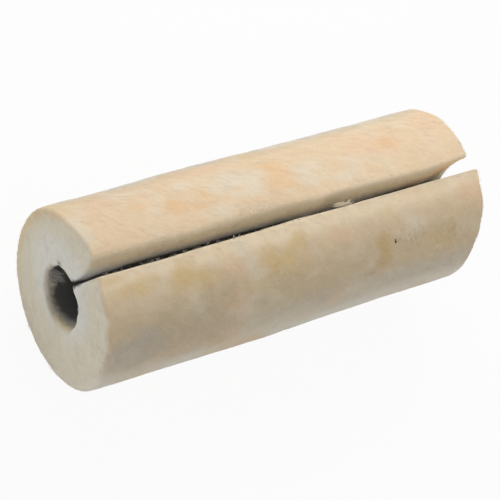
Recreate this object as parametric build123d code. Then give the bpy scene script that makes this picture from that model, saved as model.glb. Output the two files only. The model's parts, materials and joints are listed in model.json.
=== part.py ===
from build123d import *

import os
from math import asin, degrees

# Slit pipe insulation section, lying on its side.
# One thick tube of bonded mineral wool, with a bore for the pipe and a single slit along its whole length.
# The slit stands open, so that the tube can be sprung over a pipe that is already in place.
# The slit's side is the lighter one, so the tube rolls until the slit is on top, and it lies still there.
# Millimetres. +X runs along the tube, +Z is up, and the origin is on the floor under the middle of the tube.

# The tube
BORE_DIAMETER = 89.0  # for steel pipe of 88.9 outside diameter
WALL = 80.0
LENGTH = 610.0

# The slit, in the tube's section. Its front face is on the -Y side and its back face on the +Y side.
SLIT_ANGLE = 84.0  # degrees, from -Y up to the slit's middle line, with the tube's weight under its axis
SLIT_OFFSET = 9.0  # from the bore's axis to that line, towards the back
MOUTH_GAP = 22.0  # between the two faces at the outside
THROAT_GAP = 6.0  # between the two faces at the bore

# Soft corners
FRONT_LIP_RADIUS = 4.0
BACK_LIP_RADIUS = 8.0
THROAT_RADIUS = 4.0
END_ARRIS_RADIUS = 3.0

BORE_RADIUS = BORE_DIAMETER / 2
OUTER_RADIUS = BORE_RADIUS + WALL
FRONT = -1
BACK = 1


def on_circle(radius, angle):
    """Point of the section on a circle about the bore, at an angle up from the -Y side."""
    return Vector(-radius, 0).rotate(Axis.Z, -angle)


def slit_corner(radius, gap, side):
    """Where the front or back face of the slit meets a circle about the bore."""
    offset = SLIT_OFFSET + side * gap / 2
    return on_circle(radius, SLIT_ANGLE + degrees(asin(offset / radius)))


def wool_section():
    """The tube's section: an open ring, with its four corners rounded."""
    front_lip = slit_corner(OUTER_RADIUS, MOUTH_GAP, FRONT)
    back_lip = slit_corner(OUTER_RADIUS, MOUTH_GAP, BACK)
    front_throat = slit_corner(BORE_RADIUS, THROAT_GAP, FRONT)
    back_throat = slit_corner(BORE_RADIUS, THROAT_GAP, BACK)
    opposite = SLIT_ANGLE + 180
    outline = Curve() + [
        ThreePointArc(front_lip, on_circle(OUTER_RADIUS, opposite), back_lip),
        Line(back_lip, back_throat),
        ThreePointArc(back_throat, on_circle(BORE_RADIUS, opposite), front_throat),
        Line(front_throat, front_lip),
    ]
    section = make_face(outline)
    corners = (
        (front_lip, FRONT_LIP_RADIUS),
        (back_lip, BACK_LIP_RADIUS),
        (front_throat, THROAT_RADIUS),
        (back_throat, THROAT_RADIUS),
    )
    for corner, radius in corners:
        section = fillet(section.vertices().sort_by_distance(corner)[0], radius)
    return section


def pipe_section():
    """The section drawn out to its length, with a soft arris round both ends, lifted to lie on the floor."""
    tube = extrude(Plane.YZ * wool_section(), LENGTH / 2, both=True)
    ends = tube.faces().filter_by(Axis.X)
    tube = fillet(ends.edges(), END_ARRIS_RADIUS)
    return Pos(0, 0, OUTER_RADIUS) * tube


os.makedirs("parts", exist_ok=True)
export_step(pipe_section(), "parts/wool_pipe_section.step")
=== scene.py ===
"""Looks of a slit pipe insulation section: a thick wool tube and its fibres on a pale floor."""

import json
from itertools import product
from math import cos, pi, radians, sin
from types import SimpleNamespace as Values

import bpy
import numpy as np
from mathutils import Matrix, Vector


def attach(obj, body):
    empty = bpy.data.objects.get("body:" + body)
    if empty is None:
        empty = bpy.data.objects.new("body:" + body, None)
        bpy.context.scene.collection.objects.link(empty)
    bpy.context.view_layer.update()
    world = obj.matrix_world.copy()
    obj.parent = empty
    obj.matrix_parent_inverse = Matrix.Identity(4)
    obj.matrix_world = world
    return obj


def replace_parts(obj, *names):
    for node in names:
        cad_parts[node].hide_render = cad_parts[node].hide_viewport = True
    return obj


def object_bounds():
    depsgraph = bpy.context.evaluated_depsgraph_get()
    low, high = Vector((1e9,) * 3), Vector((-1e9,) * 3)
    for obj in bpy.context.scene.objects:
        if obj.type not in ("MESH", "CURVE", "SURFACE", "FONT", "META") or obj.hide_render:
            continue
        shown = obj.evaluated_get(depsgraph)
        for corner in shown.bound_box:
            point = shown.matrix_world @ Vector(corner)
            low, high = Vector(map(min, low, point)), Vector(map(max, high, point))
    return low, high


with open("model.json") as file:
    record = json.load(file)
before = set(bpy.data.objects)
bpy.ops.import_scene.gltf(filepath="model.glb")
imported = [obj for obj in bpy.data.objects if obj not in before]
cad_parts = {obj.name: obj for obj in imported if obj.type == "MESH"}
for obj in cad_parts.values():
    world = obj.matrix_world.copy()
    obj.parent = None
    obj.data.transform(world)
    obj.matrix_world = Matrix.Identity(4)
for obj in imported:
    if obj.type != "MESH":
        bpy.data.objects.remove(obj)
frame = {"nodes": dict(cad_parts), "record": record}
cad_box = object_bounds()

# The tube, in metres, from the frame
MM = 0.001
NODE = "wool_pipe_section"
PIPE_BORE = next(mount for mount in frame["record"]["mounts"] if mount["name"] == "pipe_bore")
AXIS_HEIGHT = PIPE_BORE["pos_m"][2]
OUTER_RADIUS = AXIS_HEIGHT
BORE_RADIUS = PIPE_BORE["dims"]["r_mm"] * MM
WALL = OUTER_RADIUS - BORE_RADIUS
LENGTH = cad_box[1].x - cad_box[0].x
HALF_LENGTH = LENGTH / 2
AXIS_MIDDLE = Vector((0, 0, AXIS_HEIGHT))

# The ends' soft arris and the slit, as in the solid. Angles go round the axis in degrees, from -Y upwards.
END_ARRIS = 3.0 * MM
SLIT_DEGREES = 84.0
SLIT_ANGLE = radians(SLIT_DEGREES)
ALONG_TUBE = np.array([1.0, 0.0, 0.0])
UP_SLIT = np.array([0.0, -cos(SLIT_ANGLE), sin(SLIT_ANGLE)])
ACROSS_SLIT = np.array([0.0, sin(SLIT_ANGLE), cos(SLIT_ANGLE)])
SLIT_OFFSET = 9.0 * MM
MOUTH_GAP = 22.0 * MM
THROAT_GAP = 6.0 * MM
# The outside runs from the back lip round to the front lip
FRONT_LIP_DEGREES = 83.1
BARREL_START = 93.2
BARREL_END = FRONT_LIP_DEGREES + 360

# How the photograph sees the tube. There it lies turned back about its axis by PHOTO_TURN.
PHOTO_AZIMUTH = radians(-34.76)
PHOTO_ELEVATION = radians(25.0)
PHOTO_TURN = radians(47.0)
PHOTO_DISTANCE = 2.867
PHOTO_LENS_MM = 150.1
PHOTO_SENSOR_MM = 36
PHOTO_SHIFT = (-0.0096, -0.0128)
PHOTO_CLIP_END = 50
TURN = Matrix.Rotation(-PHOTO_TURN, 3, "X")

# The studio. Lamps: name, side of the tube as the photograph sees it, distance, the level to which each
# lights a white card there, width and height
WHITE = (1, 1, 1, 1)
WORLD_LIGHT = 0.32
FLOOR_HALF_SIZE = 6
FLOOR_COLOUR = (0.85, 0.85, 0.85, 1)
FLOOR_WHITE_SHARE = 0.93
LAMPS = (
    ("overhead", (0.3, 0.0, 1.0), 2.2, 0.64, 2.0, 1.6),
    ("front_fill", (0.25, -0.93, 0.3), 2.2, 0.18, 1.6, 1.6),
    ("low_fill", (0.15, -0.9, -0.42), 2.2, 0.045, 1.6, 1.6),
    ("end_fill", (-1.0, -0.12, 0.1), 2.4, 0.2, 1.6, 1.6),
)

# How far the two slit faces stand from the solid's, by share of the length from the near end.
# Millimetres at the outside, halfway down and at the bore, plus towards the back.
BACK_LIP_SHARES = (
    (0, -1.0), (0.06, -0.4), (0.11, -0.8), (0.17, -1.0), (0.26, -2.0), (0.33, -0.4), (0.42, 0.0),
    (0.48, 0.3), (0.53, -0.6), (0.57, -2.4), (0.62, -1.3), (0.7, -1.8), (0.8, -3.2), (0.87, -3.5),
    (0.93, -3.8), (1, -4.0),
)
BACK_BOW_SHARES = (
    (0, -2.0), (0.1, -3.5), (0.4, -4.5), (0.62, -6.5), (0.74, -7.5), (0.87, -8.8), (0.94, -2.5), (1, 6.0),
)
BACK_THROAT_SHARES = ((0, -2.0), (0.5, -3.0), (0.75, -4.5), (1, -5.0))
FRONT_LIP_SHARES = (
    (0, 2.2), (0.05, 1.4), (0.12, 0.8), (0.4, 0.4), (0.56, 0.9), (0.7, 1.1), (0.86, 1.3), (0.93, 0.7),
    (1, 0.6),
)
FRONT_THROAT_SHARES = ((0, 0.6), (0.1, 0.4), (0.6, 0.0), (1, 1.5))
# How much the bow leans out towards the lip, by share of the length
BOW_LEAN_SHARES = ((0.7, 0.0), (0.8, 0.35), (0.93, 0.35), (0.97, 0.0))
# How far from the slit these shifts reach, and between which heights over the axis they set in
SLIT_REACH = 50 * MM
SLIT_ROOT = (0.3 * BORE_RADIUS, 0.8 * BORE_RADIUS)

# How far the cut ends stand along +X from the solid's, by angle, in millimetres: the near end at the outside
# and at the bore, and the far end, and how far along the tube this reaches
NEAR_END_ANGLES = (
    (0, -3.6), (18, -4.3), (31, -4.6), (44, -1.7), (55, -2.9), (65, -5.5), (75, -4.5), (82, -2.2), (97, 1.0),
    (106, 2.0), (116, -1.0), (128, -3.0), (150, -2.6), (180, -0.8), (225, -1.6), (260, -3.0), (310, -2.8),
    (360, -3.6),
)
NEAR_BORE_ANGLES = ((0, -2.5), (60, -3.5), (88, -4.5), (115, -4.0), (150, -2.5), (360, -2.5))
FAR_END_ANGLES = (
    (0, -11.0), (20, -10.5), (32, -9.0), (44, -3.6), (57, 1.8), (63, 3.6), (72, 3.8), (77, 5.8), (84, 7.4),
    (90, -3.0), (93.5, 0.3), (99, -0.4), (106, 1.6), (119, 2.9), (130, 4.3), (144, 2.8), (200, 1.0),
    (260, -3.0), (310, -8.0), (360, -11.0),
)
END_REACH = 120 * MM

# How far the near end's arris, the back lip and the bore's near edge are worn down, or below 0 built up,
# in millimetres, and how far from them this reaches
WORN_ARRIS_ANGLES = (
    (0, 0.5), (30, 1.2), (75, 1.2), (84, 0.8), (120, 1.0), (150, 1.2), (190, 1.4), (240, 0.4), (360, 0.5),
)
WORN_LIP_SHARES = ((0, 5.0), (0.08, 3.5), (0.25, 2.5), (0.45, 1.5), (0.6, -0.6), (0.8, -1.5), (1, -1.5))
WORN_REACH = 26 * MM
WORN_MOUTH_ANGLES = (
    (0, 0.5), (90, 0.2), (150, 0.8), (185, 2.6), (235, 2.8), (280, 3.0), (320, 3.4), (345, 1.5), (360, 0.5),
)
WORN_MOUTH_REACH = 14 * MM

# How far the bore's edge stands out from the solid's at the near end, by angle, in millimetres, and how far
# along the bore and out into the wall this reaches
MOUTH_ANGLES = (
    (0, -5.2), (18, -5.2), (36, -3.8), (47, -1.5), (56, 0.0), (70, 0.6), (90, 1.0), (106, 4.5), (122, 5.5),
    (140, 3.5), (165, 0.0), (180, -1.5), (227, -5.0), (270, -5.0), (317, -5.5), (345, -5.4), (360, -5.2),
)
MOUTH_REACH = 70 * MM
MOUTH_WIDTH = 0.5 * WALL

# How far the barrel swells, by share of the length, in millimetres
SWELL_SHARES = ((0, -0.8), (0.15, -0.4), (0.32, 0.9), (0.45, 1.2), (0.62, -0.5), (0.8, -0.9), (1, -0.3))

# Wool relief: size of a lump and its height
RELIEF = ((110 * MM, 0.7 * MM), (30 * MM, 0.4 * MM), (10 * MM, 0.25 * MM))
# Size of the cells of the wool's fine mesh
VOXEL = 3.25 * MM
# Ragged edges, and where they end: at the bore's mouths, outwards and along the bore, and at the slit's
# throat, by share of the wall and away from the slit
RAGGED = Values(size=6 * MM, height=0.7 * MM)
RAGGED_MOUTH = Values(width=(0, 8 * MM), depth=(4 * MM, 20 * MM))
RAGGED_THROAT = Values(wall=(0.05, 0.35), width=(2 * MM, 8 * MM))
# How far the wool and the fibres stay off the floor
WOOL_CLEARANCE = 0.2 * MM
FIBRE_CLEARANCE = 0.1 * MM

# Colours of the wool
CREAM = (0.85, 0.65, 0.43)
PEACH = (0.87, 0.6, 0.385)
AMBER = (0.87, 0.575, 0.315)
STRAW = (0.75, 0.55, 0.265)
PALE = (0.84, 0.74, 0.57)
DUSK = (0.71, 0.56, 0.36)
# Painted shade in two broad patches low on the front and on the far front lip; also the tone of dark scuffs
SHADE = (0.58, 0.475, 0.325)
SMUDGE = (0.55, 0.49, 0.41)
BISCUIT = (0.775, 0.605, 0.4)
OCHRE = (0.83, 0.64, 0.35)
ASH = (0.66, 0.57, 0.44)
STONE = (0.68, 0.62, 0.51)
GREY = (0.87, 0.81, 0.69)
LIP = (0.93, 0.765, 0.535)
EDGE = (0.83, 0.685, 0.485)
KHAKI = (0.645, 0.465, 0.225)
CORE = (0.83, 0.765, 0.61)
CORE_WHITE = (0.85, 0.83, 0.75)
SLIT_TAN = (0.7, 0.59, 0.41)
SLIT_GREY = (0.88, 0.87, 0.84)
SLIT_OCHRE = (0.73, 0.6, 0.44)
SLIT_PALE = (0.94, 0.87, 0.74)
SLIT_GOLD = (0.88, 0.68, 0.42)
RIM = (0.6, 0.525, 0.425)
RIM_SHADE = (0.5, 0.445, 0.355)
RIM_LOW = (0.86, 0.73, 0.49)
# Painted shade: the near black deep in the bore and in the slit, and the base of the fibres there
DEEP_SHADE = (0.155, 0.155, 0.146)
# Real dirt in the near end's nicks and smear, and painted shade in the slit's throat
DIRT_AND_SHADE = (0.24, 0.23, 0.21)
SPECK = (0.1, 0.075, 0.05)
FIBRE = (0.88, 0.79, 0.65)

# The skin's tone by angle: its own cream round the top, with light and shade painted in by side: painted
# shade low on the front (ASH, DUSK) and towards the top edge (BISCUIT, STONE), and painted light on the
# paler band along the lips (LIP, EDGE) and at the lower outline (GREY)
SKIN_ANGLES = (
    (0, GREY), (24, ASH), (40, DUSK), (50, DUSK), (66, BISCUIT), (77, LIP), (83, EDGE), (92, LIP),
    (100, CREAM), (138, CREAM), (147, BISCUIT), (155, STONE), (172, STONE), (240, PALE), (360, GREY),
)
# Drifts of tone over the skin: tone, size and depth, and which heights of the noise they come in over. A
# finer one lies over each: its size and weight, as shares. Each reads the noise so many of its sizes away.
SKIN_DRIFTS = ((PEACH, 58 * MM, 0.5), (PALE, 44 * MM, 0.55), (STRAW, 66 * MM, 0.35))
DRIFT_EDGE = (0.1, 1.0)
FINE_DRIFT_SIZE = 0.4
FINE_DRIFT_WEIGHT = 0.35
DRIFTS_APART = 100

# Stains on the skin, and two broad patches of painted shade low on the front: tone, share of the length,
# angle, half length and half width in millimetres, and depth
STAINS_AND_SHADE = (
    (PEACH, 0.09, 132, 32, 22, 0.6),
    (PEACH, 0.175, 131, 32, 16, 0.65),
    (PEACH, 0.36, 144, 34, 16, 0.6),
    (PEACH, 0.785, 124, 62, 34, 0.65),
    (PEACH, 0.95, 126, 30, 40, 0.35),
    (AMBER, 0.238, 116, 24, 13, 0.75),
    (AMBER, 0.285, 111, 26, 8, 0.6),
    (AMBER, 0.222, 121, 14, 12, 0.5),
    (AMBER, 0.31, 117, 13, 8, 0.8),
    (AMBER, 0.51, 120, 34, 27, 0.9),
    (AMBER, 0.82, 121, 22, 12, 0.6),
    (AMBER, 0.74, 105, 16, 9, 0.5),
    (PALE, 0.29, 131, 20, 12, 0.75),
    (PALE, 0.415, 120, 42, 26, 0.95),
    (PALE, 0.345, 103, 24, 14, 0.7),
    (PALE, 0.59, 116, 32, 28, 0.75),
    (PALE, 0.67, 104, 28, 11, 0.5),
    (PALE, 0.005, 118, 16, 40, 0.8),
    (OCHRE, 0.0, 185, 30, 110, 0.8),
    (STRAW, 0.03, 78, 24, 9, 0.7),
    (STRAW, 0.195, 69, 36, 28, 0.9),
    (STRAW, 0.445, 63, 48, 24, 0.85),
    (STRAW, 0.485, 72, 16, 15, 0.6),
    (KHAKI, 0.712, 49, 16, 44, 1.00),
    (STRAW, 0.88, 44, 44, 24, 0.45),
    (STRAW, 0.15, 19, 90, 16, 0.25),
    (OCHRE, 0.735, 70, 15, 16, 0.55),
    (PEACH, 0.96, 71, 24, 16, 0.55),
    (PEACH, 0.59, 67, 24, 18, 0.4),
    (PALE, 0.335, 77, 13, 14, 0.85),
    (PALE, 0.355, 67, 13, 15, 0.75),
    (PALE, 0.375, 58, 15, 12, 0.55),
    (PALE, 0.1, 57, 24, 8, 0.35),
    (PALE, 0.8, 59, 20, 22, 0.8),
    (PALE, 0.45, 17, 75, 28, 0.5),
    (DUSK, 0.9, 37, 42, 26, 0.35),
    # Painted shade: two broad darker patches low on the front
    (SHADE, 0.2, 38, 120, 50, 0.7),
    (SHADE, 0.52, 34, 120, 42, 0.35),
    (SMUDGE, 0.06, 37, 52, 24, 0.8),
    (SMUDGE, 0.07, 22, 40, 16, 0.65),
    (STRAW, 0.065, 71, 44, 15, 0.75),
    (STRAW, 0.24, 64, 32, 18, 0.35),
    (STRAW, 0.36, 52, 30, 14, 0.35),
    (AMBER, 0.174, 122, 24, 14, 0.55),
    (PALE, 0.402, 111, 24, 14, 0.65),
)
# How a patch's edge frays, as sizes and weights of the noise, and over which share of its reach it goes out
PATCH_FRAY = ((30 * MM, 0.35), (12 * MM, 0.25))
PATCH_EDGE = (0.2, 1.3)

# Over what distances from the cut ends, the bore and the slit's faces their tones go out
END_EDGE = (3 * MM, 10 * MM)
BORE_EDGE = (1 * MM, 5 * MM)
SLIT_EDGE = (1.5 * MM, 5 * MM)
# How the edges between tones fray, as sizes and weights of the noise
TONE_FRAY = ((14 * MM, 1.0), (5 * MM, 0.6))

# How far the skin's colour fades into the cut ends, by angle, in millimetres, and the fade's edge and fray
FADE_ANGLES = (
    (0, 16), (47, 11), (80, 8), (100, 7), (130, 12), (160, 30), (200, 28), (250, 22), (300, 20), (360, 16),
)
FADE_EDGE = (0.05, 1)
FADE_FRAY = 4 * MM

# The white round the bore, in shares of the wall: how far out it reaches, how much further on its widest
# side and which side that is, over what stretch it goes out there, and how its edge frays
WHITE_RING = Values(reach=0.3, sway=0.25, angle=140, edge=(-0.2, 0.25), fray=0.2, fray_size=40 * MM)

# The tone of the bore's rim, by angle, and where it goes out, outwards from the bore and along from an end
RIM_ANGLES = (
    (0, CORE_WHITE), (150, CORE_WHITE), (180, RIM), (227, RIM), (255, RIM_SHADE), (272, RIM_SHADE),
    (300, RIM_LOW), (345, RIM_LOW), (358, CORE_WHITE), (360, CORE_WHITE),
)
RIM_WIDTH = (0, 7 * MM)
RIM_DEPTH = (8 * MM, 18 * MM)

# Tones of the slit's faces, one over another: tone, over which shares of the length it comes in, and over
# which shares of the wall it goes out
WHOLE_LENGTH = (-2, -1)
WHOLE_WALL = (2, 3)
# Painted light: the grey on the deeper part of the faces is the pale core wool, lightened for light from the
# front, and the pale deep in the far part stands for light coming in through the far end
SLIT_TONES = (
    (SLIT_GREY, WHOLE_LENGTH, (0.35, 0.85)),
    (SLIT_OCHRE, (0.76, 0.92), WHOLE_WALL),
    (SLIT_GOLD, (0.87, 0.95), WHOLE_WALL),
    (SLIT_PALE, (0.78, 0.92), (0.4, 0.75)),
)
# How far under the skin they come in
SLIT_TOP = (0.5 * MM, 6 * MM)
# How far out from the bore the painted shade deep in the slit reaches, as a share of the wall, by share of
# the length, and its edge
SLIT_SHADE_SHARES = (
    (0, 0.12), (0.03, 0.12), (0.07, 0.28), (0.12, 0.4), (0.4, 0.4), (0.6, 0.34), (0.75, 0.15), (1, 0.02),
)
SLIT_SHADE_EDGE = 0.06
SLIT_SHADE_FRAY = 0.03

# Painted shade in the front throat at the near end, where the slit is deep and narrow: its depth, and where
# it goes out, away from the slit, by share of the wall and along from the end
THROAT_SHADE = Values(depth=0.8, fray=MM, width=(0, 3 * MM), wall=(0.2, 0.5), along=(3 * MM, 20 * MM))
# Shade on the far part of the front lip: its depth, and over which shares of length and wall it comes in
LIP_SHADE = Values(depth=0.6, length=(0.62, 0.76), wall=(0.8, 0.95))
# A smear round a nick in the near end: share of the wall from the bore, angle, radius, depth and soft edge
SMEAR = Values(wall_share=0.085, angle=136, radius=10 * MM, depth=0.55, edge=(0.1, 1))

# How deep the painted shade in the bore begins behind its rim and over what depth it darkens, by angle,
# in millimetres
BORE_SHADE_ANGLES = (
    (0, (12, 14)), (40, (4, 5)), (120, (3, 5)), (165, (3, 4)), (197, (5, 6)), (227, (7, 8)), (255, (6, 9)),
    (290, (8, 12)), (317, (12, 24)), (340, (20, 26)), (360, (12, 14)),
)
BORE_SHADE_FRAY = 1.5 * MM
# Streaks in the edge of the painted shade: how far they shift it, their size, how much the noise is squeezed
# along the bore, and their twist in degrees for each millimetre
SHADE_STREAKS = Values(shift=2.5 * MM, size=3.5 * MM, squeeze=0.2, twist=1.0)

# The wool's dull, fuzzy shader: sockets and their values
SOFT_SHADER = (
    ("Roughness", 0.95), ("Specular IOR Level", 0.12),
    ("Sheen Weight", 0.2), ("Sheen Roughness", 0.6), ("Sheen Tint", (1.0, 0.97, 0.92, 1)),
)
# The wool's surface. Its strokes lie at a heading on the barrel and have a size along, across and inwards.
STROKE_HEADING = radians(-50)
STROKE_SIZE = (26 * MM, 10 * MM, 18 * MM)
# Noises: scale, detail and distortion. Bumps: height and strength. Paleness, shade and clean wool: between
# which values of a noise or of brightness they change, and from what to what.
STROKES = Values(
    noise=(1.0, 3, 0.9), bump=(1.0 * MM, 0.1),
    paleness=(0.52, 0.76, 0, 0.24), shade=(0.28, 0.52, 0.96, 1.0),
)
STREAKS = Values(noise=(32, 4, 1.4), bump=(1.2 * MM, 0.2), paleness=(0.52, 0.74, 0, 0.2))
NAP = Values(noise=(240, 3, 0.6), bump=(0.4 * MM, 0.3), shade=(0.3, 0.7, 0.97, 1.02))
NOISE_ROUGHNESS = 0.6
CLEAN_WOOL = (0.15, 0.5, 0, 1)

# Fibres are ribbons, with this many points along each. They lie at least so far off the wool.
STEPS = 5
LEAST_LIFT = 0.05 * MM
# The stretches of a half wave that their arch and their width follow, and the power that blunts their ends
ARCH_SPAN = (0.0, 0.9)
TAPER_SPAN = (0.04, 0.96)
TAPER_POWER = 0.7
# How far their roots and tips stay inside the tube's ends
END_MARGIN = MM

# Fibres of each kind. Distances are in millimetres, angles in degrees, and the spread and bend of headings
# in radians. Where a table gives lengths, the length here is a share of them. The mix is how far a fibre's
# colour goes to a second one. A pair is the least and the most.
BARREL_FIBRES = Values(
    seed=31, count=6000, length=(7, 26), heading=-42, spread=0.55, bend=1.0, lift=(0, 0.12),
    mix=(0.1, 0.8), width=(0.25, 0.5), back_margin=1, front_margin=0.5,
)
LIP_FIBRES = Values(
    count=700, length=(6, 20), heading=-20, spread=0.7, bend=1.0, lift=(0, 0.14),
    back_inset=4, front_inset=1, back_scatter=3.6, front_scatter=1.2,
)
SCUFF_FIBRES = Values(
    seed=37, length=(0.5, 1.2), spread=0.35, bend=0.8, lift=(0, 0.15), mix=(0.4, 1.0),
    width=(0.35, 0.8), scatter_share=0.6,
)
END_FIBRES = Values(
    seed=32, count=2600, length=(6, 20), heading=0, spread=0.7, bend=1.2, lift=(0, 0.18), mix=(0, 0.7),
    brightness=(0.88, 1.04), width=(0.25, 0.5), root_margin=3, margin=2, slit_margin=3,
)
BORE_FIBRES = Values(
    seed=33, length=(0.5, 1.1), spread=0.15, bend=0.7, mix=(0.12, 0.5), width=(0.25, 0.5),
    root_depth=(2, 7), into=(0, 5),
)
FAR_BORE_FIBRES = Values(count=30, length=(3, 8), heading=180, scatter=50)
SLIT_FIBRES = Values(
    seed=35, count=700, length=(4, 14), heading=0, spread=0.8, bend=1.4, lift=(0.1, 0.7), width=(0.3, 0.6),
    brightness=(0.8, 1.0), root_share=(0.05, 0.85), wall_share=(0.02, 0.9),
)
LIP_HAIRS = Values(
    seed=36, count=130, share=(0.02, 0.7), drift=3, inset=0.6, rise=(0.7, 2.4), dip=(0.2, 2.0),
    mix=(0, 0.4), width=(0.3, 0.6),
)
TUFT_FIBRES = Values(
    seed=34, length=(0.5, 1.1), spread=0.14, bend=0.5, mix=(0, 0.7), width=(0.25, 0.5),
    scatter_share=0.15, depth=(0.5, 3.5),
)

# Scuffed places on the barrel: how many fibres, their tone, share of the length, angle, half length and
# half width, and the fibres' heading and length
SCUFFS = (
    (70, GREY, 0.41, 97.8, 34, 7, 65, 6),
    (50, DUSK, 0.415, 97.5, 34, 7, 75, 5),
    (16, GREY, 0.806, 58.0, 3, 8, 82, 9),
    (60, SHADE, 0.79, 51.0, 18, 15, 72, 7),
    (50, SHADE, 0.905, 47.0, 20, 12, 60, 7),
    (14, SHADE, 0.664, 34.5, 15, 2, -8, 9),
    (40, SHADE, 0.42, 52.0, 28, 14, 20, 6),
    (22, PALE, 0.605, 58.0, 14, 10, 50, 5),
    (14, DUSK, 0.6, 57.0, 14, 10, 50, 5),
)
# Wisps at the near mouth of the bore: how many fibres, angle and its spread, heading, length and paleness
WISPS = (
    (30, 213, 5, 66, 27, 1.0),
    (24, 195, 5, -8, 18, 1.0),
    (10, 188, 5, 40, 10, 1.0),
    (14, 53, 2, 234, 8, 1.0),
    (70, 193, 6, 50, 38, 0.45),
)
# Tufts in the slit's mouth: how many fibres, share of the length, angle, length, heading and thickness
TUFTS = (
    (46, 0.622, 84.8, 17, -8, 0.5),
    (12, 0.612, 85.6, 13, 2, 0.2),
    (12, 0.641, 85.2, 13, 24, 0.15),
    (12, 0.642, 84.4, 12, -2, 0.2),
    (3, 0.27, 84.8, 4, 55, 0.1),
    (3, 0.335, 84.6, 4, 45, 0.1),
)
# Dark flecks on the barrel: share of the length, angle, length, width and heading
FLECKS = ((0.7425, 53.0, 4.4, 2.0, 75), (0.7435, 51.6, 3.4, 3.0, 110), (0.745, 51.8, 3.0, 2.0, 20))
# Dark nicks in the near end: share of the wall from the bore, angle, length, width and heading
NICKS = (
    (0.09, 137, 4.0, 2.2, 70), (0.985, 267, 9.0, 1.4, 0), (0.985, 293, 5.0, 1.2, 0),
    (0.09, 88.6, 7.0, 2.4, 70), (0.2, 87.2, 5.0, 2.0, 105), (0.29, 86.2, 6.0, 2.0, 75),
)
FLECK_LIFT = 0.35 * MM


def ease(value, start, end):
    """0 at start and 1 at end, smooth between them and level beyond."""
    share = np.clip((value - start) / (end - start), 0, 1)
    return share * share * (3 - 2 * share)


def wane(value, start, end):
    """1 at start and 0 at end, smooth between them and level beyond."""
    return 1 - ease(value, start, end)


def along(keys, value):
    """Value of (place, height) keys, with smooth steps from key to key."""
    places, heights = (np.array(column, float) for column in zip(*keys))
    step = np.clip(np.searchsorted(places, value, side="right") - 1, 0, len(places) - 2)
    rise = ease(value, places[step], places[step + 1])
    if heights.ndim > 1:
        rise = rise[:, None]
    return heights[step] + rise * (heights[step + 1] - heights[step])


class Noise:
    """Smooth random field in space, between -1 and 1."""

    CELLS = 64

    def __init__(self, seed):
        self.lattice = np.random.default_rng(seed).uniform(-1, 1, (self.CELLS,) * 3)

    def __call__(self, points, size):
        scaled = points / size
        cell = np.floor(scaled).astype(int)
        inside = ease(scaled - cell, 0, 1)
        total = np.zeros(len(points))
        for corner in product((0, 1), repeat=3):
            weight = np.where(corner, inside, 1 - inside).prod(axis=1)
            total += weight * self.lattice[tuple(((cell + corner) % self.CELLS).T)]
        return total

    def layers(self, points, layers):
        """Sum of the field at several sizes, each with its weight."""
        return sum(weight * self(points, size) for size, weight in layers)


lumps = Noise(seed=11)
tears = Noise(seed=12)
blotches = Noise(seed=13)


def half_gap(wall_share):
    """Half the slit's width, by share of the wall from the bore."""
    return (THROAT_GAP + (MOUTH_GAP - THROAT_GAP) * wall_share) / 2


class Place:
    """Where points of the solid lie, seen from the tube's axis, its ends and its slit."""

    def __init__(self, points):
        y, z = points[:, 1], points[:, 2] - AXIS_HEIGHT
        self.x = points[:, 0]
        self.share = self.x / LENGTH + 0.5
        self.from_near = HALF_LENGTH + self.x
        self.from_far = HALF_LENGTH - self.x
        self.from_end = HALF_LENGTH - np.abs(self.x)
        self.radius = np.hypot(y, z)
        self.angle = np.degrees(np.arctan2(z, -y)) % 360
        self.outward = np.stack([np.zeros_like(y), y, z], axis=1) / np.maximum(self.radius, MM)[:, None]
        self.from_bore = self.radius - BORE_RADIUS
        self.under_skin = OUTER_RADIUS - self.radius
        self.up_slit = z * sin(SLIT_ANGLE) - y * cos(SLIT_ANGLE)
        self.side = y * sin(SLIT_ANGLE) + z * cos(SLIT_ANGLE) - SLIT_OFFSET
        self.wall_share = np.clip((self.up_slit - BORE_RADIUS) / WALL, 0, 1)
        beside_slit = np.maximum(np.abs(self.side) - half_gap(self.wall_share), 0)
        self.from_slit = np.where(self.up_slit > 0, beside_slit, WALL)


def round_axis(x, radius, angle):
    """Points round the tube's axis and their outward normals."""
    turn = np.radians(angle)
    outward = np.stack([np.zeros_like(turn), -np.cos(turn), np.sin(turn)], axis=-1)
    points = outward * np.asarray(radius)[..., None]
    points[..., 0] = x
    points[..., 2] += AXIS_HEIGHT
    return points, outward


def on_barrel(x, angle):
    """Points on the tube's outside and their normals."""
    return round_axis(x, np.full_like(x, OUTER_RADIUS), angle)


def round_barrel(distance):
    """Degrees round the tube for a distance on its outside."""
    return np.degrees(distance / OUTER_RADIUS)


def at_share(share):
    """Place along the tube at a share of its length from the near end."""
    return (share - 0.5) * LENGTH


def within_ends(x):
    """Keeps places along the tube a little inside its ends."""
    return np.clip(x, END_MARGIN - HALF_LENGTH, HALF_LENGTH - END_MARGIN)


def slit_shift(place):
    """How far points move square to the slit, for its uneven lips and faces."""
    outside = place.wall_share
    inside = 1 - place.wall_share
    halfway = np.sin(pi * place.wall_share ** (1 + along(BOW_LEAN_SHARES, place.share)))
    back = outside * along(BACK_LIP_SHARES, place.share)
    back += halfway * along(BACK_BOW_SHARES, place.share)
    back += inside * along(BACK_THROAT_SHARES, place.share)
    front = outside * along(FRONT_LIP_SHARES, place.share)
    front += inside * along(FRONT_THROAT_SHARES, place.share)
    near = np.exp(-((place.from_slit / SLIT_REACH) ** 2)) * ease(place.up_slit, *SLIT_ROOT)
    return near * np.where(place.side > 0, back, front) * MM


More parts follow.
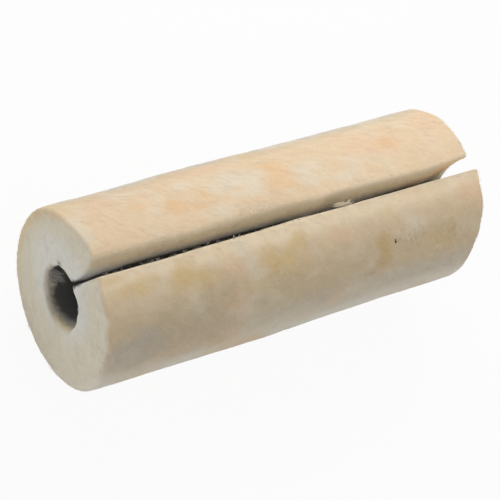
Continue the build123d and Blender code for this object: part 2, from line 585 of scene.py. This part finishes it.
def end_shift(place):
    """How far points move along +X, for the uneven cut ends."""
    outer_share = np.clip(1 - place.under_skin / WALL, 0, 1)
    near_end = outer_share * along(NEAR_END_ANGLES, place.angle)
    near_end += (1 - outer_share) * along(NEAR_BORE_ANGLES, place.angle)
    near_end *= wane(place.from_near, 0, END_REACH)
    far_end = along(FAR_END_ANGLES, place.angle) * wane(place.from_far, 0, END_REACH)
    return (near_end + far_end) * MM


def mouth_shift(place):
    """How far points move outwards, for the uneven edge of the bore at the near end."""
    edge = along(MOUTH_ANGLES, place.angle) * wane(place.from_near, 0, MOUTH_REACH)
    return edge * wane(place.from_bore, 0, MOUTH_WIDTH) * MM


def worn(depth, distance, reach):
    """How far wool is worn down, from the whole depth at an edge to nothing at the reach."""
    return (depth * MM * np.clip(1 - distance / reach, 0, 1) ** 2)[:, None]


def wear(place):
    """How points at the near end's arris, the back lip and the bore's near edge have worn inwards."""
    from_arris = np.maximum(place.from_near, place.under_skin)
    from_lip = np.where(place.side > 0, np.maximum(place.from_slit, place.under_skin), WALL)
    from_mouth = np.maximum(place.from_near, np.abs(place.from_bore))
    arris = worn(along(WORN_ARRIS_ANGLES, place.angle), from_arris, WORN_REACH)
    lip = worn(along(WORN_LIP_SHARES, place.share), from_lip, WORN_REACH)
    mouth = worn(along(WORN_MOUTH_ANGLES, place.angle), from_mouth, WORN_MOUTH_REACH)
    inwards = arris * (ALONG_TUBE - place.outward) + lip * (ACROSS_SLIT - place.outward)
    return inwards + mouth * (ALONG_TUBE + place.outward)


def wool_height(points, place):
    """How far the wool stands off the solid: its swell, its lumps and its ragged edges."""
    height = along(SWELL_SHARES, place.share) * MM * ease(place.from_bore, 0, WALL)
    height += lumps.layers(points, RELIEF)
    mouth = wane(place.from_bore, *RAGGED_MOUTH.width) * wane(place.from_end, *RAGGED_MOUTH.depth)
    throat = wane(place.wall_share, *RAGGED_THROAT.wall) * wane(place.from_slit, *RAGGED_THROAT.width)
    return height + RAGGED.height * tears(points, RAGGED.size) * np.maximum(mouth, throat)


def wool_shape(points, normals):
    """Moves points of the solid, with the normals there, to the uneven shape of the wool."""
    place = Place(points)
    moved = points + slit_shift(place)[:, None] * ACROSS_SLIT
    moved += end_shift(place)[:, None] * ALONG_TUBE
    moved += wear(place)
    moved += mouth_shift(place)[:, None] * place.outward
    moved += wool_height(points, place)[:, None] * normals
    moved[:, 2] = np.maximum(moved[:, 2], WOOL_CLEARANCE)
    return moved


def plain(tone, count):
    """One colour for each of so many points."""
    return np.tile(tone, (count, 1))


def blend(first, second, share):
    """Colours between two, by a share for each point."""
    return first + np.asarray(share)[:, None] * (np.asarray(second) - first)


def skin_tone(points, place):
    """Colour of the outside: its stains and drifts, with light and shade painted in by side and in two broad
    patches.
    """
    tone = along(SKIN_ANGLES, place.angle)
    for drift_tone, size, depth in SKIN_DRIFTS:
        layers = ((size, 1.0), (FINE_DRIFT_SIZE * size, FINE_DRIFT_WEIGHT))
        drift = blotches.layers(points + DRIFTS_APART * size, layers)
        tone = blend(tone, drift_tone, depth * ease(drift, *DRIFT_EDGE))
    fray = blotches.layers(points, PATCH_FRAY)
    for patch_tone, share, angle, half_length, half_width, depth in STAINS_AND_SHADE:
        turn = np.radians((place.angle - angle + 180) % 360 - 180)
        across = turn * OUTER_RADIUS / (half_width * MM)
        lengthwise = (place.share - share) * LENGTH / (half_length * MM)
        reach = np.hypot(lengthwise, across) + fray
        tone = blend(tone, patch_tone, depth * wane(reach, *PATCH_EDGE))
    return tone


def core_tone(points, place):
    """Colour of the bare wool, whitest round the bore, and of the bore's rim."""
    reach = WHITE_RING.reach + WHITE_RING.sway * np.cos(np.radians(place.angle - WHITE_RING.angle))
    start, end = WHITE_RING.edge
    outwards = place.from_bore / WALL + WHITE_RING.fray * blotches(points, WHITE_RING.fray_size)
    core = blend(plain(CORE, len(points)), CORE_WHITE, wane(outwards, reach + start, reach + end))
    rim = wane(place.from_bore, *RIM_WIDTH) * wane(place.from_end, *RIM_DEPTH)
    return blend(core, along(RIM_ANGLES, place.angle), rim)


def slit_tone(place, fray):
    """Colour of the slit's faces, with painted light on them and painted shade deep in, near the bore."""
    tone = plain(SLIT_TAN, len(place.x))
    for over, comes_in, goes_out in SLIT_TONES:
        tone = blend(tone, over, ease(place.share, *comes_in) * wane(place.wall_share, *goes_out))
    reach = along(SLIT_SHADE_SHARES, place.share)
    outwards = place.wall_share + SLIT_SHADE_FRAY * fray
    return blend(tone, DEEP_SHADE, wane(outwards, reach - SLIT_SHADE_EDGE, reach + SLIT_SHADE_EDGE))


def smear(points):
    """How deep the smear round a nick in the near end is."""
    middle, _ = round_axis(-HALF_LENGTH, BORE_RADIUS + SMEAR.wall_share * WALL, SMEAR.angle)
    return SMEAR.depth * wane(np.linalg.norm(points - middle, axis=1) / SMEAR.radius, *SMEAR.edge)


def throat_shade(place, fray):
    """How much shade is painted on the front throat at the near end."""
    beside = wane(place.from_slit + THROAT_SHADE.fray * fray, *THROAT_SHADE.width)
    inwards = wane(place.wall_share, *THROAT_SHADE.wall) * wane(place.from_near, *THROAT_SHADE.along)
    return THROAT_SHADE.depth * (place.side < 0) * beside * inwards


def lip_shade(place):
    """How shaded the front lip is towards the far end."""
    on_lip = wane(place.from_slit, *SLIT_EDGE) * ease(place.wall_share, *LIP_SHADE.wall)
    return LIP_SHADE.depth * (place.side < 0) * on_lip * ease(place.share, *LIP_SHADE.length)


def bore_shade(place, fray):
    """How deep the painted shade in the bore is, in streaks that wind along it."""
    turn = np.radians(place.angle - SHADE_STREAKS.twist * place.from_end / MM)
    wound = np.column_stack([SHADE_STREAKS.squeeze * place.x, turn * BORE_RADIUS, place.radius])
    shift = BORE_SHADE_FRAY * fray + SHADE_STREAKS.shift * tears(wound, SHADE_STREAKS.size)
    start, width = along(BORE_SHADE_ANGLES, place.angle).T * MM
    return ease(place.from_end + shift, start, start + width)


def wool_tone(points):
    """Colour of the wool at points of the solid."""
    place = Place(points)
    fray = tears.layers(points, TONE_FRAY)
    in_bore = wane(place.from_bore, *BORE_EDGE)
    bare = np.maximum(wane(place.from_end, *END_EDGE), in_bore)
    sunk = (place.under_skin + FADE_FRAY * fray) / (along(FADE_ANGLES, place.angle) * MM)
    tone = blend(skin_tone(points, place), core_tone(points, place), bare * ease(sunk, *FADE_EDGE))
    tone = blend(tone, DIRT_AND_SHADE, smear(points))
    in_slit = wane(place.from_slit, *SLIT_EDGE) * ease(place.under_skin, *SLIT_TOP)
    tone = blend(tone, slit_tone(place, fray), in_slit)
    # Painted shade in the front throat at the near end
    tone = blend(tone, DIRT_AND_SHADE, throat_shade(place, fray))
    tone = blend(tone, SHADE, lip_shade(place))
    # Painted shade deep inside the bore
    return blend(tone, DEEP_SHADE, in_bore * bore_shade(place, fray))


def link(thing):
    """Puts an object in the scene."""
    bpy.context.scene.collection.objects.link(thing)
    return thing


def make_camera():
    """The camera where the photograph's stood."""
    data = bpy.data.cameras.new("photo_camera")
    data.sensor_width = PHOTO_SENSOR_MM
    data.lens = PHOTO_LENS_MM
    data.shift_x, data.shift_y = PHOTO_SHIFT
    data.clip_end = PHOTO_CLIP_END
    camera = link(bpy.data.objects.new("photo_camera", data))
    azimuth, elevation = PHOTO_AZIMUTH, PHOTO_ELEVATION
    right = Vector((cos(azimuth), sin(azimuth), 0))
    back = Vector((sin(azimuth) * cos(elevation), -cos(azimuth) * cos(elevation), sin(elevation)))
    axes = [TURN @ axis for axis in (right, back.cross(right), back)]
    stand = Matrix.Translation(AXIS_MIDDLE + axes[2] * PHOTO_DISTANCE)
    camera.matrix_world = stand @ Matrix(axes).transposed().to_4x4()
    bpy.context.scene.camera = camera


class Nodes:
    """A short way to write the node tree of a material or a world."""

    # Sockets of a mix node for colours: its share and two colours, and its result
    MIX_INPUTS = (0, 6, 7)
    MIX_OUTPUT = 2

    def __init__(self, owner):
        owner.use_nodes = True
        self.tree = owner.node_tree

    def put(self, socket, value):
        if isinstance(value, bpy.types.NodeSocket):
            self.tree.links.new(value, socket)
        else:
            socket.default_value = value

    def new(self, kind, **inputs):
        node = self.tree.nodes.new("ShaderNode" + kind)
        for name, value in inputs.items():
            self.put(node.inputs[name.replace("_", " ")], value)
        return node

    def attribute(self, name, output):
        node = self.new("Attribute")
        node.attribute_name = name
        return node.outputs[output]

    def noise(self, vector, scale, detail, distortion):
        node = self.new("TexNoise", Vector=vector, Scale=scale, Detail=detail, Distortion=distortion)
        node.inputs["Roughness"].default_value = NOISE_ROUGHNESS
        return node.outputs["Fac"]

    def between(self, value, low, high, to_low, to_high):
        node = self.new("MapRange", Value=value, From_Min=low, From_Max=high, To_Min=to_low, To_Max=to_high)
        node.interpolation_type = "SMOOTHSTEP"
        return node.outputs["Result"]

    def math(self, operation, first, second):
        node = self.new("Math")
        node.operation = operation
        self.put(node.inputs[0], first)
        self.put(node.inputs[1], second)
        return node.outputs[0]

    def mix(self, share, first, second, blend_type="MIX"):
        node = self.new("Mix")
        node.data_type = "RGBA"
        node.blend_type = blend_type
        for socket, value in zip(self.MIX_INPUTS, (share, first, second)):
            self.put(node.inputs[socket], value)
        return node.outputs[self.MIX_OUTPUT]

    def bump(self, height, distance, strength, normal=None):
        node = self.new("Bump", Height=height, Distance=distance, Strength=strength)
        if normal:
            self.put(node.inputs["Normal"], normal)
        return node.outputs["Normal"]

    def seen(self):
        """1 where the camera sees a thing, also in or through others, and 0 where it only gives light."""
        path = self.new("LightPath").outputs
        through = self.math("MAXIMUM", path["Is Glossy Ray"], path["Is Transmission Ray"])
        return self.math("MAXIMUM", path["Is Camera Ray"], through)


def soft_material(name):
    """A material with the dull, fuzzy look of wool, its nodes and the inputs of its shader."""
    material = bpy.data.materials.new(name)
    n = Nodes(material)
    inputs = n.tree.nodes["Principled BSDF"].inputs
    for socket, value in SOFT_SHADER:
        inputs[socket].default_value = value
    return material, n, inputs


def wool_material():
    """Bonded wool, with strokes and streaks of matted fibre over its stains, and a fine nap."""
    material, n, inputs = soft_material("wool")
    unrolled = n.attribute("unrolled", "Vector")
    brushed = n.new("Mapping", Vector=unrolled, Rotation=(0, 0, STROKE_HEADING), Scale=STROKE_SIZE)
    brushed.vector_type = "TEXTURE"
    strokes = n.noise(brushed.outputs["Vector"], *STROKES.noise)
    streaks = n.noise(unrolled, *STREAKS.noise)
    nap = n.noise(unrolled, *NAP.noise)
    colour = n.attribute("tone", "Color")
    clean = n.between(n.new("RGBToBW", Color=colour).outputs["Val"], *CLEAN_WOOL)
    for noise, layer in ((strokes, STROKES), (streaks, STREAKS)):
        colour = n.mix(n.math("MULTIPLY", clean, n.between(noise, *layer.paleness)), colour, (*FIBRE, 1))
    grain = n.math("MULTIPLY", n.between(strokes, *STROKES.shade), n.between(nap, *NAP.shade))
    n.put(inputs["Base Color"], n.mix(1.0, colour, grain, "MULTIPLY"))
    normal = n.bump(strokes, *STROKES.bump)
    normal = n.bump(streaks, *STREAKS.bump, normal)
    n.put(inputs["Normal"], n.bump(nap, *NAP.bump, normal))
    return material


def fibre_material():
    """Single fibres in the wool's colours."""
    material, n, inputs = soft_material("fibres")
    n.put(inputs["Base Color"], n.attribute("tone", "Color"))
    return material


def floor_material():
    """Pale to the light, and near white to the camera."""
    material = bpy.data.materials.new("pale_floor")
    n = Nodes(material)
    n.tree.nodes.remove(n.tree.nodes["Principled BSDF"])
    pale = n.new("BsdfDiffuse", Color=FLOOR_COLOUR)
    white = n.new("Emission", Color=WHITE)
    both = n.new("MixShader", Fac=n.math("MULTIPLY", n.seen(), FLOOR_WHITE_SHARE))
    n.put(both.inputs[1], pale.outputs[0])
    n.put(both.inputs[2], white.outputs[0])
    n.put(n.tree.nodes["Material Output"].inputs["Surface"], both.outputs[0])
    return material


def make_floor():
    """A plain floor, which keeps the tube's shadow."""
    half = FLOOR_HALF_SIZE
    corners = [(-half, -half, 0), (half, -half, 0), (half, half, 0), (-half, half, 0)]
    mesh = bpy.data.meshes.new("floor")
    mesh.from_pydata(corners, [], [(0, 1, 2, 3)])
    mesh.materials.append(floor_material())
    floor = link(bpy.data.objects.new("floor", mesh))


def make_world():
    """Even light from all round, white to the camera."""
    world = bpy.data.worlds.new("studio")
    bpy.context.scene.world = world
    n = Nodes(world)
    background = n.tree.nodes["Background"].inputs
    background["Color"].default_value = WHITE
    n.put(background["Strength"], n.between(n.seen(), 0, 1, WORLD_LIGHT, 1))


def make_lamp(name, side, distance, level, width, height):
    """A broad soft lamp that faces the tube's middle."""
    data = bpy.data.lights.new(name, "AREA")
    data.shape = "RECTANGLE"
    data.size, data.size_y = width, height
    data.energy = pi * pi * level * distance ** 2
    lamp = link(bpy.data.objects.new(name, data))
    away = TURN @ Vector(side).normalized()
    lamp.location = AXIS_MIDDLE + away * distance
    lamp.rotation_mode = "QUATERNION"
    lamp.rotation_quaternion = away.to_track_quat("Z", "Y")


def add_piece(name, mesh, material):
    """Adds a piece of the tube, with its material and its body."""
    piece = link(bpy.data.objects.new(name, mesh))
    mesh.materials.clear()
    mesh.materials.append(material)
    mesh.shade_smooth()
    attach(piece, "root")
    return piece


def store(mesh, name, values, kind, field):
    """Stores a colour or a vector for each point of a mesh."""
    mesh.attributes.new(name, kind, "POINT").data.foreach_set(field, np.asarray(values, np.float32).ravel())


def store_tone(mesh, tone):
    """Stores the wool's colour for each point of a mesh."""
    store(mesh, "tone", np.column_stack([tone, np.ones(len(tone))]), "FLOAT_COLOR", "color")


def store_unrolled(mesh, points):
    """Stores how points lie when the tube is rolled out flat: along it, round it and off its axis."""
    place = Place(points)
    round_it = np.radians((place.angle - SLIT_DEGREES) % 360) * OUTER_RADIUS
    store(mesh, "unrolled", np.column_stack([place.x, round_it, place.radius]), "FLOAT_VECTOR", "vector")


def fine_mesh(node):
    """An even fine mesh of a node's solid."""
    mesh = frame["nodes"][node].data.copy()
    coarse = link(bpy.data.objects.new("coarse", mesh))
    remesh = coarse.modifiers.new("remesh", "REMESH")
    remesh.mode = "VOXEL"
    remesh.voxel_size = VOXEL
    evaluated = coarse.evaluated_get(bpy.context.evaluated_depsgraph_get())
    fine = bpy.data.meshes.new_from_object(evaluated)
    bpy.data.objects.remove(coarse)
    bpy.data.meshes.remove(mesh)
    return fine


def make_body(material):
    """The wool body in place of the plain solid."""
    mesh = fine_mesh(NODE)
    count = len(mesh.vertices)
    points, normals = np.zeros(count * 3), np.zeros(count * 3)
    mesh.vertices.foreach_get("co", points)
    mesh.vertex_normals.foreach_get("vector", normals)
    points, normals = points.reshape(-1, 3), normals.reshape(-1, 3)
    store_tone(mesh, wool_tone(points))
    store_unrolled(mesh, points)
    mesh.vertices.foreach_set("co", wool_shape(points, normals).ravel())
    mesh.update()
    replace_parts(add_piece("wool_body", mesh, material), NODE)


def repeat_rows(table):
    """Columns of a table, with each row repeated by the count that it begins with."""
    counts, *columns = zip(*table)
    return [np.repeat(column, counts, axis=0) for column in columns]


def wander(random, kind, count, heading, scale=1):
    """Curved paths on a surface: how far each has gone ahead and aside at its steps."""
    lengths = scale * random.uniform(*kind.length, count) * MM
    turn = np.radians(heading) + kind.spread * random.normal(size=count)
    curl = kind.bend * random.normal(size=count)
    way = turn[:, None] + curl[:, None] * np.linspace(-0.5, 0.5, STEPS)
    pace = np.insert(np.ones(STEPS - 1), 0, 0) / (STEPS - 1)
    ahead = np.cumsum(np.cos(way) * pace, axis=1) * lengths[:, None]
    aside = np.cumsum(np.sin(way) * pace, axis=1) * lengths[:, None]
    return ahead, aside


def straight(length, heading):
    """Straight paths about their middles: how far each goes ahead and aside at its steps."""
    path = np.linspace(-0.5, 0.5, STEPS) * length[:, None] * MM
    turn = np.radians(heading)[:, None]
    return path * np.cos(turn), path * np.sin(turn)


def arch(random, count, lift):
    """How far fibres lie off the wool at their steps: close at both ends, higher between."""
    peak = random.uniform(*lift, count)[:, None] * MM
    return LEAST_LIFT + peak * np.sin(pi * np.linspace(*ARCH_SPAN, STEPS))


def on_wool(points, normals, lift):
    """Moves paths from the solid to the wool, lifted off it."""
    moved = wool_shape(points.reshape(-1, 3), normals.reshape(-1, 3)).reshape(points.shape)
    return moved + normals * lift[..., None]


def tone_under(points):
    """The wool's colour under the middles of paths."""
    return wool_tone(points[:, STEPS // 2])


def ribbons(name, middles, facing, widths, tones, material):
    """Fibres as flat tapering ribbons, from middle lines, the way they face, widths and colours."""
    count, steps = middles.shape[:2]
    side = np.cross(np.gradient(middles, axis=1), facing)
    side /= np.linalg.norm(side, axis=2, keepdims=True)
    taper = np.sin(pi * np.linspace(*TAPER_SPAN, steps)) ** TAPER_POWER
    half = side * (widths[:, None] * MM * taper)[..., None] / 2
    points = np.stack([middles - half, middles + half], axis=2).reshape(-1, 3)
    points[:, 2] = np.maximum(points[:, 2], FIBRE_CLEARANCE)
    first = (np.arange(count)[:, None] * steps + np.arange(steps - 1)) * 2
    faces = np.stack([first, first + 1, first + 3, first + 2], axis=2).reshape(-1, 4)
    mesh = bpy.data.meshes.new(name)
    mesh.from_pydata(points.tolist(), [], faces.tolist())
    store_tone(mesh, np.repeat(tones, 2 * steps, axis=0))
    add_piece(name, mesh, material)


def make_barrel_fibres(material):
    """Fibres matted down on the outside, brushed slantwise, and more of them along the lips."""
    barrel, lips = BARREL_FIBRES, LIP_FIBRES
    random = np.random.default_rng(barrel.seed)
    x = random.uniform(-HALF_LENGTH, HALF_LENGTH, barrel.count)
    angle = random.uniform(BARREL_START, BARREL_END, barrel.count)
    ahead, aside = wander(random, barrel, barrel.count, barrel.heading)
    x = np.append(x, random.uniform(-HALF_LENGTH, HALF_LENGTH, lips.count))
    on_back = random.random(lips.count) < 0.5
    lip = np.where(on_back, BARREL_START + lips.back_inset, BARREL_END - lips.front_inset)
    scatter = np.where(on_back, lips.back_scatter, lips.front_scatter)
    angle = np.append(angle, lip + scatter * random.normal(size=lips.count))
    lip_ahead, lip_aside = wander(random, lips, lips.count, lips.heading)
    x = within_ends(x[:, None] + np.vstack([ahead, lip_ahead]))
    angle = angle[:, None] + round_barrel(np.vstack([aside, lip_aside]))
    lift = np.vstack([arch(random, kind.count, kind.lift) for kind in (barrel, lips)])
    off_back = angle.min(axis=1) > BARREL_START + barrel.back_margin
    off_slit = off_back & (angle.max(axis=1) < BARREL_END - barrel.front_margin)
    points, normals = on_barrel(x[off_slit], angle[off_slit])
    middles = on_wool(points, normals, lift[off_slit])
    count = len(points)
    tones = blend(tone_under(points), FIBRE, random.uniform(*barrel.mix, count))
    ribbons("barrel_fibres", middles, normals, random.uniform(*barrel.width, count), tones, material)


def make_scuffs(material):
    """Short fibres raised where the outside is scuffed."""
    kind = SCUFF_FIBRES
    random = np.random.default_rng(kind.seed)
    tones, share, angle, half_length, half_width, heading, length = repeat_rows(SCUFFS)
    count = len(share)
    ahead, aside = wander(random, kind, count, heading, length)
    x = at_share(share) + kind.scatter_share * half_length * MM * random.normal(size=count)
    angle = angle + round_barrel(kind.scatter_share * half_width * MM * random.normal(size=count))
    points, normals = on_barrel(within_ends(x[:, None] + ahead), angle[:, None] + round_barrel(aside))
    middles = on_wool(points, normals, arch(random, count, kind.lift))
    tones = blend(tone_under(points), tones, random.uniform(*kind.mix, count))
    ribbons("barrel_scuffs", middles, normals, random.uniform(*kind.width, count), tones, material)


def make_end_fibres(material):
    """Fibres on the two cut ends, most of them running round the bore."""
    kind = END_FIBRES
    random = np.random.default_rng(kind.seed)
    end = np.where(random.random(kind.count) < 0.5, -1.0, 1.0)
    innermost = BORE_RADIUS + kind.root_margin * MM
    outermost = OUTER_RADIUS - kind.root_margin * MM
    radius = np.sqrt(random.uniform(innermost ** 2, outermost ** 2, kind.count))[:, None]
    angle = random.uniform(0, 360, kind.count)[:, None]
    ahead, aside = wander(random, kind, kind.count, kind.heading)
    radius_path = np.clip(radius + aside, BORE_RADIUS + kind.margin * MM, OUTER_RADIUS - kind.margin * MM)
    x = np.repeat(end[:, None] * HALF_LENGTH, STEPS, axis=1)
    points, _ = round_axis(x, radius_path, angle + np.degrees(ahead / radius))
    from_slit = Place(points.reshape(-1, 3)).from_slit.reshape(kind.count, STEPS)
    off_slit = from_slit.min(axis=1) > kind.slit_margin * MM
    points = points[off_slit]
    count = len(points)
    normals = np.zeros_like(points)
    normals[..., 0] = end[off_slit, None]
    middles = on_wool(points, normals, arch(random, count, kind.lift))
    tones = blend(tone_under(points), FIBRE, random.uniform(*kind.mix, count))
    tones *= random.uniform(*kind.brightness, (count, 1))
    ribbons("end_fibres", middles, normals, random.uniform(*kind.width, count), tones, material)


def make_bore_fibres(material):
    """Loose fibres that hang from the rims of the bore across its mouths."""
    kind, far = BORE_FIBRES, FAR_BORE_FIBRES
    random = np.random.default_rng(kind.seed)
    angle, spread, heading, length, paleness = repeat_rows(WISPS)
    end = np.append(np.full(len(angle), -1.0), np.ones(far.count))
    far_angle = random.uniform(0, 360, far.count)
    angle = np.append(angle + spread * random.normal(size=len(angle)), far_angle)
    heading = np.append(heading, far_angle + random.normal(far.heading, far.scatter, far.count))
    length = np.append(length, random.uniform(*far.length, far.count))
    paleness = np.append(paleness, np.ones(far.count))
    count = len(angle)
    ahead, aside = wander(random, kind, count, 0, length)
    root_depth = random.uniform(*kind.root_depth, count) * MM
    into = random.uniform(*kind.into, count)[:, None] * MM * np.linspace(0, 1, STEPS)
    roots, outward = round_axis(end * (HALF_LENGTH - root_depth), np.full(count, BORE_RADIUS), angle)
    _, forward = round_axis(0, np.zeros(count), heading)
    _, sideways = round_axis(0, np.zeros(count), heading + 90)
    points = roots[:, None] + ahead[..., None] * forward[:, None] + aside[..., None] * sideways[:, None]
    points[..., 0] -= end[:, None] * into
    points += (wool_shape(roots, -outward) - roots)[:, None]
    facing = np.zeros_like(points)
    facing[..., 0] = end[:, None]
    # Painted shade: their base tone is the near black of the shaded bore
    tones = blend(plain(DEEP_SHADE, count), FIBRE, paleness * random.uniform(*kind.mix, count))
    ribbons("bore_fibres", points, facing, random.uniform(*kind.width, count), tones, material)


def make_slit_fibres(material):
    """Fibres that fray from the back face of the slit."""
    kind = SLIT_FIBRES
    random = np.random.default_rng(kind.seed)
    ahead, aside = wander(random, kind, kind.count, kind.heading)
    x = within_ends(random.uniform(-HALF_LENGTH, HALF_LENGTH, kind.count)[:, None] + ahead)
    root_share = random.uniform(*kind.root_share, kind.count)[:, None]
    wall_share = np.clip(root_share + aside / WALL, *kind.wall_share)
    side = SLIT_OFFSET + half_gap(wall_share)
    height = BORE_RADIUS + wall_share * WALL
    points = x[..., None] * ALONG_TUBE + side[..., None] * ACROSS_SLIT + height[..., None] * UP_SLIT
    points[..., 2] += AXIS_HEIGHT
    normals = np.broadcast_to(-ACROSS_SLIT, points.shape)
    middles = on_wool(points, normals, arch(random, kind.count, kind.lift))
    tones = tone_under(points) * random.uniform(*kind.brightness, (kind.count, 1))
    ribbons("slit_fibres", middles, normals, random.uniform(*kind.width, kind.count), tones, material)


def make_lip_hairs(material):
    """Short hairs that stand from the front lip into the slit's mouth."""
    kind = LIP_HAIRS
    random = np.random.default_rng(kind.seed)
    on_way = np.linspace(0, 1, STEPS)
    root = at_share(random.uniform(*kind.share, kind.count))[:, None]
    x = root + kind.drift * random.normal(size=kind.count)[:, None] * MM * on_way
    angle = FRONT_LIP_DEGREES - kind.inset + random.uniform(*kind.rise, kind.count)[:, None] * on_way
    radius = OUTER_RADIUS - random.uniform(*kind.dip, kind.count)[:, None] * MM * on_way
    points, normals = round_axis(x, radius, angle)
    points += (wool_shape(points[:, 0], normals[:, 0]) - points[:, 0])[:, None]
    # Painted shade: their base tone is the near black of the slit's shaded depth
    tones = blend(plain(DEEP_SHADE, kind.count), SLIT_TAN, random.uniform(*kind.mix, kind.count))
    ribbons("lip_hairs", points, normals, random.uniform(*kind.width, kind.count), tones, material)


def make_tufts(material):
    """Tufts of loose fibre that lie in the slit's mouth."""
    kind = TUFT_FIBRES
    random = np.random.default_rng(kind.seed)
    share, angle, length, heading, thickness = repeat_rows(TUFTS)
    count = len(share)
    ahead, aside = wander(random, kind, count, heading, length)
    middle = at_share(share) + kind.scatter_share * random.normal(size=count) * length * MM
    x = middle[:, None] + ahead - ahead[:, -1:] / 2
    angle = angle + thickness * random.normal(size=count)
    angle = angle[:, None] + round_barrel(aside - aside[:, -1:] / 2)
    radius = OUTER_RADIUS - random.uniform(*kind.depth, count)[:, None] * MM
    points, normals = round_axis(x, np.broadcast_to(radius, x.shape), angle)
    tones = blend(plain(DUSK, count), FIBRE, random.uniform(*kind.mix, count))
    ribbons("slit_tufts", points, normals, random.uniform(*kind.width, count), tones, material)


def fleck_paths():
    """Middle lines of the flecks on the outside, and their normals."""
    share, angle, length, _, heading = np.array(FLECKS).T
    ahead, aside = straight(length, heading)
    return on_barrel(at_share(share)[:, None] + ahead, angle[:, None] + round_barrel(aside))


def nick_paths():
    """Middle lines of the nicks in the near end and over its soft arris, and their normals."""
    wall_share, angle, length, _, heading = np.array(NICKS).T
    ahead, aside = straight(length, heading)
    radius = BORE_RADIUS + wall_share[:, None] * WALL + aside
    over_arris = np.clip((radius - OUTER_RADIUS) / END_ARRIS + 1, 0, 1)
    flat = np.sqrt(1 - over_arris ** 2)
    x = END_ARRIS * (1 - flat) - HALF_LENGTH
    points, outward = round_axis(x, radius, angle[:, None] + np.degrees(ahead / radius))
    return points, outward * over_arris[..., None] - ALONG_TUBE * flat[..., None]


def make_flecks(material):
    """Small dark flecks on the outside and dark nicks in the near end."""
    points, normals = (np.vstack(both) for both in zip(fleck_paths(), nick_paths()))
    middles = on_wool(points, normals, np.full(points.shape[:2], FLECK_LIFT))
    widths = np.array([width for _, _, _, width, _ in FLECKS + NICKS])
    tones = np.vstack([plain(SPECK, len(FLECKS)), plain(DIRT_AND_SHADE, len(NICKS))])
    ribbons("flecks", middles, normals, widths, tones, material)


bpy.context.scene.view_settings.view_transform = "Standard"
make_camera()
make_floor()
make_world()
for lamp_values in LAMPS:
    make_lamp(*lamp_values)
make_body(wool_material())
fibres = fibre_material()
make_barrel_fibres(fibres)
make_scuffs(fibres)
make_end_fibres(fibres)
make_bore_fibres(fibres)
make_slit_fibres(fibres)
make_lip_hairs(fibres)
make_tufts(fibres)
make_flecks(fibres)
